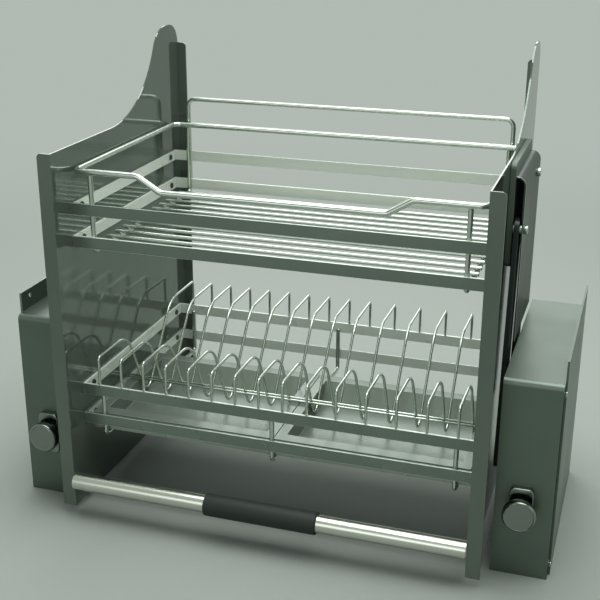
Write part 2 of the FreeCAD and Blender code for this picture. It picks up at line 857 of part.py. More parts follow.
# Basket rings: flat bars bent on edge to a rectangle, two to each basket, screwed to the side plates
def ring(name, top):
    """A rectangular frame of flat bar with a pair of screw holes in each side."""
    body = doc.addObject("PartDesign::Body", name + "_body")
    half = value("plate_inner")
    start = value("ring_start")
    end = value("ring_back")
    bar = value("ring_bar")
    inner = half - bar
    edges = outline([(-half, start, 0), (half, start, 0), (half, end, 0), (-half, end, 0)])
    edges += outline([(-inner, start + bar, 0), (inner, start + bar, 0), (inner, end - bar, 0),
                      (-inner, end - bar, 0)])
    pad(body, name + "_bar", "XY_Plane", top + " - ring_height", edges, "ring_height")
    holes = []
    for depth in RING_SCREW_DEPTHS:
        holes.append(faceted(name + "_hole", "X", "-plate_inner", depth, top + " - ring_height / 2",
                             "screw_radius", "2 * plate_inner", 6))
    return cut(name + "_cut", body, *holes)


node("upper_basket_top_ring", ring("upper_top", "upper_ring_top"))
node("upper_basket_bottom_ring", ring("upper_bottom", "upper_ring_low"))
node("lower_basket_top_ring", ring("lower_top", "lower_ring_top"))
node("lower_basket_bottom_ring", ring("lower_bottom", "lower_ring_low"))

# Ring screws: a pan head inside each bar, its shank through bar and plate
ring_screws = []
for y, z in RING_SCREWS:
    shank = faceted("ring_screw_shank", "X", "plate_inner - ring_bar", y, z, "screw_radius",
                    "ring_bar + plate_sheet", 6)
    head = faceted("ring_screw_top", "X", "plate_inner - ring_bar - ring_screw_proud", y, z,
                   "ring_screw_head", "ring_screw_proud", 6)
    ring_screws.append(fuse("ring_screw", shank, head))
both_sides("ring_screws", ring_screws)


# Top rail: one round wire bent to a loop round the mouth of the upper basket, dipped at the front
def top_rail():
    """The closed loop, from the middle of its back."""
    side = value("plate_inner - rail_inset")
    high = value("rail_height")
    low = high - value("rail_dip")
    dip = value("plate_inner - rail_dip_inset")
    slope = dip + value("rail_slope")
    near = value("front_rod_y - rail_set_forward")
    far = value("rear_rod_y - rail_set_forward")
    loop = [
        (side, far, high),
        (side, near, high),
        (slope, near, high),
        (dip, near, low),
        (-dip, near, low),
        (-slope, near, high),
        (-side, near, high),
        (-side, far, high),
    ]
    return bent_wire(loop, value("rail_radius"), value("rail_bend"), Vector(0, 0, 1), 30.0, closed=True)


node("top_rail", shaped("top_rail_wire", top_rail()))


# Cradle rods: U-shaped rods behind the rings that carry the shelf wires and, lower down, the trays
def cradle(across, top, low):
    """Down behind the front bars, back under the basket and up before the rear bars."""
    near = value("front_rod_y")
    far = value("rear_rod_y")
    points = [(across, near, top), (across, near, low), (across, far, low), (across, far, top)]
    return bent_wire(points, value("rod_radius"), value("rod_bend"), Vector(1, 0, 0))


rod_across = value("rod_across")
rail_foot = value("rail_height - rail_radius")
upper_low = value("upper_rod_z")
upper_rods = [cradle(across, rail_foot, upper_low) for across in (-rod_across, rod_across)]
node("upper_cradle_rods", shaped("upper_cradle_rod_pair", Part.makeCompound(upper_rods)))

tray_rod_height = value("tray_top - tray_deep - tray_wall - rod_radius")
lower_top = value("lower_ring_top - ring_height / 2")
lower_rods = [cradle(across, lower_top, tray_rod_height) for across in (-rod_across, 0.0, rod_across)]
node("tray_cradle_rods", shaped("tray_cradle_rod_set", Part.makeCompound(lower_rods)))

# Shelf wires: straight wires across the upper basket, welded on its two cradle rods
shelf_wires = []
for index in range(int(value("shelf_count"))):
    depth = "front + shelf_start + shelf_pitch * %d" % index
    shelf_wires.append(faceted("shelf_wire", "X", "-shelf_half", depth,
                               "upper_rod_z + rod_radius + shelf_wire", "shelf_wire", "2 * shelf_half",
                               6))
node("shelf_wires", group("shelf_wire_set", *shelf_wires))


# Back guard: a hoop of wire behind the upper basket
def back_guard():
    """Two legs welded behind the rear bars and a straight top."""
    across = value("plate_inner - hoop_inset")
    y = value("ring_back") + value("rod_radius")
    foot = value("upper_ring_low - ring_height")
    top = value("hoop_height")
    points = [(-across, y, foot), (-across, y, top), (across, y, top), (across, y, foot)]
    return bent_wire(points, value("rod_radius"), value("hoop_bend"), Vector(0, 1, 0))


node("back_guard", shaped("back_guard_hoop", back_guard()))


# Plate dividers: one bent wire per plate, level in front, down into a V and up again to the back
DIVIDER_TURN = 45.0
DIVIDER_SIDES = 5


def divider(across):
    """The bent wire in the plane of one plate, welded on the front and rear bars."""
    near = value("ring_start + ring_bar / 2")
    far = value("ring_back - ring_bar / 2")
    foot = value("lower_ring_top")
    top = value("divider_height")
    small = value("divider_small_bend")
    large = value("divider_large_bend")
    low = value("divider_low_bend")
    points = [
        (across, near, foot),
        (across, near, top, small),
        (across, front + value("divider_front_corner"), top, large),
        (across, front + value("divider_low_corner"), value("divider_low_height"), low),
        (across, front + value("divider_rear_corner"), top, large),
        (across, far, top, small),
        (across, far, foot),
    ]
    return bent_wire(points, value("divider_wire"), small, Vector(1, 0, 0), DIVIDER_TURN, DIVIDER_SIDES)


divider_places = []
for index in range(int(value("divider_count"))):
    divider_places.append(value("divider_inset - plate_inner + divider_pitch * %d" % index))
for index in range(int(value("bowl_count"))):
    divider_places.append(value("plate_inner - divider_inset - bowl_pitch * %d" % index))
dividers = Part.makeCompound([divider(across) for across in divider_places])
node("plate_dividers", shaped("plate_divider_set", dividers))


# Brace wires: two long straight wires on the bottom ring, one each side of the dividers' front legs
def brace_wires():
    """The pair that grips the sloping legs where they pass the ring's top."""
    radius = value("brace_wire")
    height = value("lower_ring_low") + radius
    run = value("divider_low_corner - divider_front_corner")
    fall = value("divider_height - divider_low_height")
    slope = math.atan2(fall, run)
    leg = front + value("divider_low_corner") - (height - value("divider_low_height")) / math.tan(slope)
    offset = (radius + value("divider_wire + weld_gap")) / math.sin(slope)
    wires = []
    for y in (leg - offset, leg + offset):
        wires.append(faceted("brace_wire", "X", "ring_bar / 2 - plate_inner", str(y),
                             "lower_ring_low + brace_wire", "brace_wire", "2 * plate_inner - ring_bar"))
    return group("brace_wire_pair", *wires)


node("brace_wires", brace_wires())


# Drip trays: two lift-out pans of thin sheet with a flat rim and a turned-down skirt
def basin(name, low, high, end_slope, slope, inset):
    """A tapered block, wide at the tray's top and narrower below, this far inside the pan's outer face."""
    block = doc.addObject("Part::Wedge", name)
    block.Placement = Placement(Vector(), Rotation(Vector(1, 0, 0), 90))
    x0 = "tray_inner + tray_end_rim + " + inset
    x1 = "plate_inner - tray_outer_gap - tray_end_rim - (" + inset + ")"
    y0 = "-(tray_start + tray_depth - tray_rim - (" + inset + "))"
    y1 = "-(tray_start + tray_rim + " + inset + ")"
    bind(block, Ymin=low, Ymax=high)
    bind(block, X2min=x0, X2max=x1, Z2min=y0, Z2max=y1)
    bind(block, Xmin=x0 + " + " + end_slope, Xmax=x1 + " - " + end_slope)
    bind(block, Zmin=y0 + " + " + slope, Zmax=y1 + " - " + slope)
    return block


def drip_tray():
    """The rim and skirt joined to a tapered pan, less the pan's hollow."""
    width = "plate_inner - tray_outer_gap - tray_inner"
    skirt = box("tray_block", "tray_inner", "tray_start", "tray_top - tray_skirt", width, "tray_depth",
                "tray_skirt")
    under = box("tray_under", "tray_inner + tray_wall", "tray_start + tray_wall", "tray_top - tray_skirt",
                width + " - 2 * tray_wall", "tray_depth - 2 * tray_wall", "tray_skirt - tray_wall")
    floor = "tray_top - tray_deep"
    pan = basin("tray_pan", floor + " - tray_wall", "tray_top", "tray_wall", "tray_slope", "0")
    hollow = basin("tray_hollow", floor, "tray_top", "tray_wall", "tray_slope", "tray_wall")
    return cut("drip_tray_cut", fuse("drip_tray_sheet", cut("tray_skirt", skirt, under), pan), hollow)


pair("drip_tray", drip_tray())

# Handle bar: a tube between the side plates with a soft grip, plugs in its ends and a screw at each
GRIP_SIDES = 24
BAR_LENGTH = "2 * plate_inner"
bar_outer = rod("bar_outer", "X", "-plate_inner", "bar_y", "bar_height", "bar_radius", BAR_LENGTH)
bar_bore = rod("bar_bore", "X", "-plate_inner", "bar_y", "bar_height", "bar_radius - bar_wall", BAR_LENGTH)
node("handle_tube", cut("handle_tube_cut", bar_outer, bar_bore))


def handle_grip():
    """A sleeve with chamfered ends, bored so that it sits on the tube."""
    start = "-grip_half"
    length = "2 * grip_half"
    sleeve = faceted("grip_sleeve", "X", start, "bar_y", "bar_height", "grip_radius", length, GRIP_SIDES)
    middle = value("grip_half") - EDGE_SLACK
    chamfer = value("grip_chamfer")
    ends = chamfered("grip_ends", sleeve, chamfer, lambda edge: abs(edge.CenterOfMass.x) > middle)
    bore_radius = "bar_radius / cos(180 / %d)" % GRIP_SIDES
    bore = faceted("grip_bore", "X", start, "bar_y", "bar_height", bore_radius, length, GRIP_SIDES)
    return cut("handle_grip_cut", ends, bore)


node("handle_grip", handle_grip())

plug = faceted("end_plug", "X", "plate_inner - plug_length", "bar_y", "bar_height", "bar_radius - bar_wall",
               "plug_length", 12)
plug_hole = faceted("end_plug_hole", "X", "plate_inner - plug_length", *HANDLE_SCREW, "screw_radius",
                    "plug_length")
both_sides("handle_end_plugs", [cut("end_plug_cut", plug, plug_hole)])
handle_shank = faceted("handle_screw_shank", "X", "plate_inner - screw_length", *HANDLE_SCREW,
                       "screw_radius", "screw_length + plate_sheet")
handle_head = faceted("handle_screw_top", "X", "plate_outer", *HANDLE_SCREW, "handle_screw_head",
                      "handle_screw_proud")
both_sides("handle_screws", [fuse("handle_screw_whole", handle_shank, handle_head)])

doc.recompute()

for thing in doc.Objects:
    if "Invalid" in thing.State or "Error" in thing.State:
        raise RuntimeError("failed object: " + thing.Label)

os.makedirs("parts", exist_ok=True)
for name, thing in nodes.items():
    shape = thing.Shape
    if shape.isNull() or not shape.isValid() or not shape.Solids:
        raise RuntimeError("bad shape: " + name)
    shape.exportStep("parts/" + name + ".step")

whole = Part.makeCompound([thing.Shape for thing in nodes.values()]).BoundBox
print("nodes", len(nodes))
print("box %.2f %.2f %.2f to %.2f %.2f %.2f" % (whole.XMin, whole.YMin, whole.ZMin, whole.XMax, whole.YMax,
                                                 whole.ZMax))
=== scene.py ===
import json
import math

import bmesh
import bpy
import numpy as np
from mathutils import Matrix, Vector


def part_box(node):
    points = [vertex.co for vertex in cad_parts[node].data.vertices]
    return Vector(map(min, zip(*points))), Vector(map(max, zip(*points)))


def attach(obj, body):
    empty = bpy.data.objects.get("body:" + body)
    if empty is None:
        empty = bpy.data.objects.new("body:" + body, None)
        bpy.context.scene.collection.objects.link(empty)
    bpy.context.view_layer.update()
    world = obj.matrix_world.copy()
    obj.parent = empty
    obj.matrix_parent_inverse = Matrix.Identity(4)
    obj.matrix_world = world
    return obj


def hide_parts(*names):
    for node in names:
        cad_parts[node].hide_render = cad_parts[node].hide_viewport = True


# Pull-down dish rack: two wire baskets between tall side plates, carried on swinging arms by two spring
# housings, with lift-out drip trays and a pull bar. Everything is in metres, in the rack's own frame.
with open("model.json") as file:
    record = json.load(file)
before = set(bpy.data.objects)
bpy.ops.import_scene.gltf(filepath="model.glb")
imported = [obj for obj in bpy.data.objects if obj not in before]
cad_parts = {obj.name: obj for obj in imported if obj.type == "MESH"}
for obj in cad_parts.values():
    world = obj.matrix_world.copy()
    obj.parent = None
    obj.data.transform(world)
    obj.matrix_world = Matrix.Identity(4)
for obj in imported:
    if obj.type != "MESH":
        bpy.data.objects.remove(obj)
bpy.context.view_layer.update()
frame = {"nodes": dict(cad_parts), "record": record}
MM = 0.001
scene = bpy.context.scene

# Camera: at the height and angle of the photographed view, a little to the right of the rack and above it,
# with the focal length that the perspective gives on a 36 mm sensor.
VIEW_TURN = 0.311343
VIEW_TILT = 0.359209
VIEW_ROLL = 0.004146
VIEW_POINT = Vector((0.32932, -1.04208, 0.62579))
FOCAL_LENGTH = 66.284
SENSOR_WIDTH = 36.0


def camera_axes(turn, tilt, roll):
    """Right, up and backward directions of a level camera that is turned, tilted down and then rolled."""
    backward = Vector((math.sin(turn) * math.cos(tilt), -math.cos(turn) * math.cos(tilt), math.sin(tilt)))
    level = Vector((math.cos(turn), math.sin(turn), 0.0))
    upward = backward.cross(level)
    right = level * math.cos(roll) + upward * math.sin(roll)
    return right, backward.cross(right), backward


right, upward, backward = camera_axes(VIEW_TURN, VIEW_TILT, VIEW_ROLL)
camera_data = bpy.data.cameras.new("camera")
camera_data.lens = FOCAL_LENGTH
camera_data.sensor_width = SENSOR_WIDTH
camera = bpy.data.objects.new("camera", camera_data)
scene.collection.objects.link(camera)
turn = Matrix((right, upward, backward)).transposed().to_4x4()
camera.matrix_world = Matrix.Translation(VIEW_POINT) @ turn
scene.camera = camera

# Floor and light: a plain pale floor that fades into its own backdrop, which bright metal mirrors too, with
# a big soft box overhead and one behind, so that tops are light and fronts stay a tone darker.
FLOOR_COLOUR = (0.345, 0.385, 0.352)
BACKDROP_COLOUR = (0.44, 0.49, 0.45, 1.0)
SKY_COLOUR = (0.11, 0.13, 0.115, 1.0)
FLOOR_REACH = 6.0
FLOOR_ROUGHNESS = 0.8
FLOOR_SHINE = 0.1
FADE_START = 0.55
FADE_END = 1.9


def add_mesh(name, points, faces):
    """A mesh object from whole arrays of corner points and of face corner numbers."""
    mesh = bpy.data.meshes.new(name)
    mesh.from_pydata(np.asarray(points, float).tolist(), [], [list(map(int, face)) for face in faces])
    mesh.validate()
    thing = bpy.data.objects.new(name, mesh)
    scene.collection.objects.link(thing)
    return thing


def add_nodes(material, *kinds):
    """Shader nodes of the given kinds, in order."""
    return [material.node_tree.nodes.new("ShaderNode" + kind) for kind in kinds]


def new_material(name, colour, roughness, metallic=0.0):
    """A material with its surface shader, its links and the shader's constant sockets set."""
    material = bpy.data.materials.new(name)
    material.use_nodes = True
    surface = material.node_tree.nodes["Principled BSDF"]
    surface.inputs["Base Color"].default_value = (*colour, 1.0)
    surface.inputs["Roughness"].default_value = roughness
    surface.inputs["Metallic"].default_value = metallic
    return material, surface, material.node_tree.links


def paint(thing, material):
    """One material on every face of a piece."""
    thing.data.materials.clear()
    thing.data.materials.append(material)


floor = add_mesh(
    "floor",
    [(-FLOOR_REACH, -FLOOR_REACH, 0), (FLOOR_REACH, -FLOOR_REACH, 0),
     (FLOOR_REACH, FLOOR_REACH, 0), (-FLOOR_REACH, FLOOR_REACH, 0)],
    [(0, 1, 2, 3)],
)
floor_material, floor_surface, floor_links = new_material("floor", FLOOR_COLOUR, FLOOR_ROUGHNESS)
floor_surface.inputs["Specular IOR Level"].default_value = FLOOR_SHINE
place, distance, fade, far_tone, blend = add_nodes(
    floor_material, "TexCoord", "VectorMath", "MapRange", "Emission", "MixShader")
distance.operation = "LENGTH"
fade.interpolation_type = "SMOOTHERSTEP"
fade.inputs["From Min"].default_value = FADE_START
fade.inputs["From Max"].default_value = FADE_END
far_tone.inputs["Color"].default_value = BACKDROP_COLOUR
floor_links.new(place.outputs["Object"], distance.inputs[0])
floor_links.new(distance.outputs["Value"], fade.inputs["Value"])
floor_links.new(fade.outputs["Result"], blend.inputs["Fac"])
floor_links.new(floor_surface.outputs["BSDF"], blend.inputs[1])
floor_links.new(far_tone.outputs["Emission"], blend.inputs[2])
floor_links.new(blend.outputs["Shader"], floor_material.node_tree.nodes["Material Output"].inputs["Surface"])
paint(floor, floor_material)

world = bpy.data.worlds.new("studio")
scene.world = world
world.use_nodes = True
ray, mirrored, seen, pale, choice = add_nodes(world, "LightPath", "Math", "Math", "Background", "MixShader")
mirrored.operation = seen.operation = "MAXIMUM"
sky = world.node_tree.nodes["Background"]
sky.inputs["Color"].default_value = SKY_COLOUR
pale.inputs["Color"].default_value = BACKDROP_COLOUR
world_links = world.node_tree.links
world_links.new(ray.outputs["Is Glossy Ray"], mirrored.inputs[0])
world_links.new(ray.outputs["Is Transmission Ray"], mirrored.inputs[1])
world_links.new(ray.outputs["Is Camera Ray"], seen.inputs[0])
world_links.new(mirrored.outputs["Value"], seen.inputs[1])
world_links.new(seen.outputs["Value"], choice.inputs["Fac"])
world_links.new(sky.outputs["Background"], choice.inputs[1])
world_links.new(pale.outputs["Background"], choice.inputs[2])
world_links.new(choice.outputs["Shader"], world.node_tree.nodes["World Output"].inputs["Surface"])


def soft_box(name, place, target, width, height, power):
    """A rectangular lamp that faces a target point."""
    lamp = bpy.data.lights.new(name, "AREA")
    lamp.shape = "RECTANGLE"
    lamp.size = width
    lamp.size_y = height
    lamp.energy = power
    thing = bpy.data.objects.new(name, lamp)
    scene.collection.objects.link(thing)
    thing.location = place
    thing.rotation_euler = (Vector(target) - Vector(place)).to_track_quat("-Z", "Y").to_euler()


RACK_MIDDLE = (0.0, 0.0, 0.22)
soft_box("ceiling_box", (0.1, 0.1, 1.9), RACK_MIDDLE, 2.0, 1.6, 46.0)
soft_box("rear_box", (-0.9, 2.3, 1.35), RACK_MIDDLE, 2.8, 1.1, 26.0)
soft_box("right_fill", (2.3, 0.2, 1.3), RACK_MIDDLE, 1.2, 1.2, 3.0)
soft_box("front_fill", (-0.3, -2.4, 1.0), RACK_MIDDLE, 1.8, 1.1, 8.0)
scene.view_settings.view_transform = "Standard"

# Side plates: one satin steel sheet each, folded at the front and the rear, with a gloss that mirrors the
# baskets softly. Its cut edges and the rounds of its folds take a lighter material, a painted highlight.
PLATE_COLOUR = (0.159, 0.194, 0.164)
EDGE_HIGHLIGHT_COLOUR = (0.62, 0.74, 0.65)
SHEET_METAL = 0.55
SHEET_SHINE = 0.2
SHEET_EDGE = 2.0 * MM
FLAT_ANGLE = math.radians(0.4)
FOLD_ANGLE = math.radians(32.0)
SMALL_HOLE = 6.0 * MM
WELD = 0.002 * MM
CLOUD_SCALE = 14.0
CLOUD_DETAIL = 4.0
SHEET_GRAIN = 1400.0
GRAIN_STRETCH = 0.06
GRAIN_DEPTH = 0.03
GRAIN_HEIGHT = 0.2 * MM
body_of = {}
for body_name, members in frame["record"]["behaviour"]["bodies"].items():
    for member in members:
        body_of[member] = body_name


def rolled_sheet(name, colour, roughness, metallic=SHEET_METAL):
    """Rolled steel: slow clouds in tone and gloss, and a very fine grain bump drawn out along Y."""
    material, surface, links = new_material(name, colour, roughness, metallic)
    surface.inputs["Specular IOR Level"].default_value = SHEET_SHINE
    place, clouds, turn, grain, tone, gloss, bump = add_nodes(
        material, "TexCoord", "TexNoise", "Mapping", "TexNoise", "MixRGB", "MapRange", "Bump")
    clouds.inputs["Scale"].default_value = CLOUD_SCALE
    clouds.inputs["Detail"].default_value = CLOUD_DETAIL
    turn.inputs["Scale"].default_value = (1.0, GRAIN_STRETCH, 1.0)
    grain.inputs["Scale"].default_value = SHEET_GRAIN
    links.new(place.outputs["Object"], clouds.inputs["Vector"])
    links.new(place.outputs["Object"], turn.inputs["Vector"])
    links.new(turn.outputs["Vector"], grain.inputs["Vector"])
    tone.inputs["Color1"].default_value = (*[part * 0.88 for part in colour], 1.0)
    tone.inputs["Color2"].default_value = (*[part * 1.12 for part in colour], 1.0)
    links.new(clouds.outputs["Fac"], tone.inputs["Fac"])
    links.new(tone.outputs["Color"], surface.inputs["Base Color"])
    gloss.inputs["To Min"].default_value = roughness * 0.7
    gloss.inputs["To Max"].default_value = roughness * 1.3
    links.new(clouds.outputs["Fac"], gloss.inputs["Value"])
    links.new(gloss.outputs["Result"], surface.inputs["Roughness"])
    bump.inputs["Strength"].default_value = GRAIN_DEPTH
    bump.inputs["Distance"].default_value = GRAIN_HEIGHT
    links.new(grain.outputs["Fac"], bump.inputs["Height"])
    links.new(bump.outputs["Normal"], surface.inputs["Normal"])
    return material


def flat_faced(node, rim_width):
    """A copy of a solid's mesh with its triangles merged into flat faces, and its folds marked for rounding.
    A face whose mean width, twice its area over its outline's length, is less than rim_width takes the
    second material, unless it is only a strip of a larger flat one. The rims of small holes stay sharp."""
    shape = bmesh.new()
    shape.from_mesh(frame["nodes"][node].data)
    bmesh.ops.remove_doubles(shape, verts=shape.verts, dist=WELD)
    bmesh.ops.dissolve_limit(shape, angle_limit=FLAT_ANGLE, verts=shape.verts, edges=shape.edges)
    weight = shape.edges.layers.float.new("bevel_weight_edge")
    folds = [edge for edge in shape.edges if abs(edge.calc_face_angle_signed(0.0)) > FOLD_ANGLE]
    hollows = [edge for edge in folds if edge.calc_face_angle_signed() < 0]
    hollow_points = {point for edge in hollows for point in edge.verts}
    for edge in folds:
        small = edge.calc_length() < SMALL_HOLE and hollow_points.issuperset(edge.verts)
        edge[weight] = 0.0 if small else 1.0
        edge.smooth = not small
    folds = set(folds)
    for face in shape.faces:
        narrow = 2 * face.calc_area() < rim_width * face.calc_perimeter()
        bounded = all(edge in folds for edge in face.edges if edge.calc_length() > rim_width)
        face.material_index = int(narrow and bounded)
    mesh = bpy.data.meshes.new(node + "_finish")
    shape.to_mesh(mesh)
    shape.free()
    if "custom_normal" in mesh.attributes:
        mesh.attributes.remove(mesh.attributes["custom_normal"])
    return mesh


def dressed(node, material, edge=0.25 * MM, segments=2, rim=None, rim_width=0.0):
    """A piece with its solid's faces, rounded edges, and its narrow faces and edges in the rim material, a
    lighter one that paints a highlight on them.
    Each corner's normal leans to the largest face beside it, so that flat faces stay flat."""
    mesh = flat_faced(node, rim_width)
    thing = bpy.data.objects.new(node + "_finish", mesh)
    scene.collection.objects.link(thing)
    mesh.shade_smooth()
    mesh.materials.clear()
    mesh.materials.append(material)
    if rim:
        mesh.materials.append(rim)
    bevel = thing.modifiers.new("edges", "BEVEL")
    bevel.width = edge
    bevel.segments = segments
    bevel.limit_method = "WEIGHT"
    bevel.use_clamp_overlap = True
    if rim:
        bevel.material = 1
    flat = thing.modifiers.new("flat_faces", "WEIGHTED_NORMAL")
    flat.mode = "FACE_AREA"
    flat.weight = 100
    flat.keep_sharp = True
    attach(thing, body_of[node])
    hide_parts(node)
    return thing


plate_steel = rolled_sheet("plate_steel", PLATE_COLOUR, 0.075)
# A lighter copy of the sheet for cut edges and edge rounds of the sheet pieces and rings: a painted
# highlight.
painted_edge_highlight = rolled_sheet("painted_edge_highlight", EDGE_HIGHLIGHT_COLOUR, 0.35)
for side in ("right", "left"):
    dressed(side + "_side_plate", plate_steel, rim=painted_edge_highlight, rim_width=SHEET_EDGE)

# Link brackets and covers: thick pressed pads on the plates and one bent sheet a side over the tops of the
# arms, of darker steel. The covers' cut edges and edge rounds take the lighter edge material, a painted
# highlight.
COVER_COLOUR = (0.052, 0.066, 0.055)
PAD_COLOUR = (0.135, 0.173, 0.143)
cover_steel = rolled_sheet("cover_steel", COVER_COLOUR, 0.40, 0.3)
pad_steel = rolled_sheet("pad_steel", PAD_COLOUR, 0.5, 0.2)
for side in ("right", "left"):
    dressed(side + "_link_bracket", pad_steel, 0.6 * MM, 3)
    dressed(side + "_link_cover", cover_steel, rim=painted_edge_highlight, rim_width=SHEET_EDGE)

# Swinging arms: two flat steel bars a side with round ends, in a very dark tone. Each is pressed on its
# shaft at the foot and turns on its pivot pin at the head.
ARM_COLOUR = (0.042, 0.055, 0.046)
arm_steel = rolled_sheet("arm_steel", ARM_COLOUR, 0.34)
for side in ("right", "left"):
    dressed(side + "_front_arm", arm_steel, 0.4 * MM)
    dressed(side + "_rear_arm", arm_steel, 0.4 * MM)

# Spring housings: deep-drawn sheet covers on flat mounting plates. The covers are blasted to an even matt
# satin, so they mirror nothing, and their bent edges catch the light.
HOUSING_COLOUR = (0.137, 0.176, 0.144)
PLATE_RIM = 2.2 * MM
housing_steel = rolled_sheet("housing_steel", HOUSING_COLOUR, 0.42, 0.75)
for side in ("right", "left"):
    dressed(side + "_housing_cover", housing_steel, 1.4 * MM, 4)
    # The mounting plates' cut edges and edge rounds take the lighter edge material, a painted highlight.
    dressed(side + "_mounting_plate", housing_steel, rim=painted_edge_highlight, rim_width=PLATE_RIM)

# Basket rings: four flat steel bars bent on edge to a rectangle, two to a basket, and screwed to the side
# plates. Their outer faces are satin, their edges take the lighter edge material, a painted highlight, and
# their inner faces a still lighter one, a painted reflection.
RING_COLOUR = (0.195, 0.239, 0.203)
INNER_REFLECTION_COLOUR = (0.765, 0.833, 0.748)
RING_EDGE = 2.9 * MM
ring_steel = rolled_sheet("ring_steel", RING_COLOUR, 0.26)
# A much lighter copy of the ring steel for the inner faces: a painted reflection.
painted_inner_reflection = rolled_sheet("painted_inner_reflection", INNER_REFLECTION_COLOUR, 0.30, 0.15)
for ring in ("upper_basket_top_ring", "upper_basket_bottom_ring", "lower_basket_top_ring",
             "lower_basket_bottom_ring"):
    mesh = dressed(ring, ring_steel, 0.3 * MM, 2, painted_edge_highlight, RING_EDGE).data
    mesh.materials.append(painted_inner_reflection)
    # Faces that look inwards, towards the rack's middle, take the lighter inner material, a painted
    # reflection.
    for face in mesh.polygons:
        across, deep, _ = face.normal
        if face.material_index == 0 and across * face.center.x + deep * face.center.y < 0:
            face.material_index = 2

# Top rail: one round steel wire, polished and bent to a loop round the mouth of the upper basket. It dips
# at the front, and the upper cradle rods reach up to it.
WIRE_COLOUR = (0.56, 0.62, 0.55)
TONE_LOW = 0.92
GLOSS_LOW = 0.9
GLOSS_HIGH = 1.12
DOME_LENGTH = 0.35
DOME_WIDTH = 0.7
WIRE_SHARP = math.radians(40.0)


def polished(name, colour, roughness, streaks=(1.0, 1.0, 1.0), streak_scale=260.0, streak_depth=0.03,
             metallic=1.0):
    """Polished metal: noise stretched along the drawing direction varies the gloss and a very light bump."""
    material, surface, links = new_material(name, colour, roughness, metallic)
    place, turn, lines, gloss, tone, bump = add_nodes(
        material, "TexCoord", "Mapping", "TexNoise", "MapRange", "MixRGB", "Bump")
    turn.inputs["Scale"].default_value = streaks
    lines.inputs["Scale"].default_value = streak_scale
    lines.inputs["Detail"].default_value = 1.0
    links.new(place.outputs["Object"], turn.inputs["Vector"])
    links.new(turn.outputs["Vector"], lines.inputs["Vector"])
    gloss.inputs["To Min"].default_value = roughness * GLOSS_LOW
    gloss.inputs["To Max"].default_value = roughness * GLOSS_HIGH
    links.new(lines.outputs["Fac"], gloss.inputs["Value"])
    links.new(gloss.outputs["Result"], surface.inputs["Roughness"])
    tone.inputs["Color1"].default_value = (*[part * TONE_LOW for part in colour], 1.0)
    tone.inputs["Color2"].default_value = (*colour, 1.0)
    links.new(lines.outputs["Fac"], tone.inputs["Fac"])
    links.new(tone.outputs["Color"], surface.inputs["Base Color"])
    bump.inputs["Strength"].default_value = streak_depth
    bump.inputs["Distance"].default_value = GRAIN_HEIGHT
    links.new(lines.outputs["Fac"], bump.inputs["Height"])
    links.new(bump.outputs["Normal"], surface.inputs["Normal"])
    return material


def corner_arc(before, here, after, radius, steps):
    """Points of the arc tangent to both runs at a corner: its centre lies on the corner's bisector."""
    arrive = (before - here) / np.linalg.norm(before - here)
    leave = (after - here) / np.linalg.norm(after - here)
    half = math.acos(np.clip(arrive @ leave, -1, 1)) / 2
    middle = (arrive + leave) / np.linalg.norm(arrive + leave)
    centre = here + middle * radius / math.sin(half)
    start = here + arrive * radius / math.tan(half) - centre
    end = here + leave * radius / math.tan(half) - centre
    sweep = math.acos(np.clip(start @ end / radius ** 2, -1, 1))
    share = np.linspace(0, 1, steps)[:, None]
    return centre + (np.sin((1 - share) * sweep) * start + np.sin(share * sweep) * end) / math.sin(sweep)


def bent_path(corners, radii, steps=9):
    """A path through the given corners, each rounded with its own radius; a radius of 0 keeps an end."""
    corners = [np.asarray(corner, float) for corner in corners]
    runs = []
    for index, (here, radius) in enumerate(zip(corners, radii)):
        if radius == 0:
            runs.append(here[None])
            continue
        runs.append(corner_arc(corners[index - 1], here, corners[(index + 1) % len(corners)], radius, steps))
    return np.vstack(runs)


def carried_circle(path, radius, across, closed=False, sides=16):
    """A round wire: a circle square to the path at each of its points, with domed ends on an open one.
    The circle's first axis is the path's tangent crossed with a fixed direction, and its second is the
    tangent crossed with the first."""
    path = np.asarray(path, float)
    if closed:
        tangent = np.roll(path, -1, 0) - np.roll(path, 1, 0)
    else:
        tangent = np.gradient(path, axis=0)
    tangent /= np.linalg.norm(tangent, axis=1)[:, None]
    first = np.cross(tangent, np.asarray(across, float))
    first /= np.linalg.norm(first, axis=1)[:, None]
    second = np.cross(tangent, first)
    width = np.full(len(path), radius)
    if not closed:
        dome = DOME_LENGTH * radius
        path = np.vstack([path[:1], path[:1] + tangent[:1] * dome, path[1:-1],
                          path[-1:] - tangent[-1:] * dome, path[-1:]])
        tangent = np.vstack([tangent[:1], tangent, tangent[-1:]])
        first = np.vstack([first[:1], first, first[-1:]])
        second = np.vstack([second[:1], second, second[-1:]])
        width = np.concatenate([[radius * DOME_WIDTH], width, [radius * DOME_WIDTH]])
    angle = np.linspace(0, 2 * np.pi, sides, endpoint=False)
    rings = (path[:, None] + first[:, None] * (width[:, None] * np.cos(angle))[..., None]
             + second[:, None] * (width[:, None] * np.sin(angle))[..., None])
    count = len(path)
    row = np.arange(count if closed else count - 1)[:, None]
    column = np.arange(sides)[None]
    here = row * sides + column
    beside = row * sides + (column + 1) % sides
    above = (row + 1) % count * sides + column
    corner = (row + 1) % count * sides + (column + 1) % sides
    faces = np.stack([here, beside, corner, above], -1).reshape(-1, 4)
    points = rings.reshape(-1, 3)
    faces = faces.tolist()
    if not closed:
        faces.append(list(range(sides - 1, -1, -1)))
        faces.append(list(range((count - 1) * sides, count * sides)))
    return points, faces


def joined(name, parts):
    """One mesh of several: face numbers are shifted by the count of points before them."""
    points = []
    faces = []
    for part_points, part_faces in parts:
        shift = sum(len(block) for block in points)
        points.append(part_points)
        faces += [[corner + shift for corner in face] for face in part_faces]
    return add_mesh(name, np.vstack(points), faces)


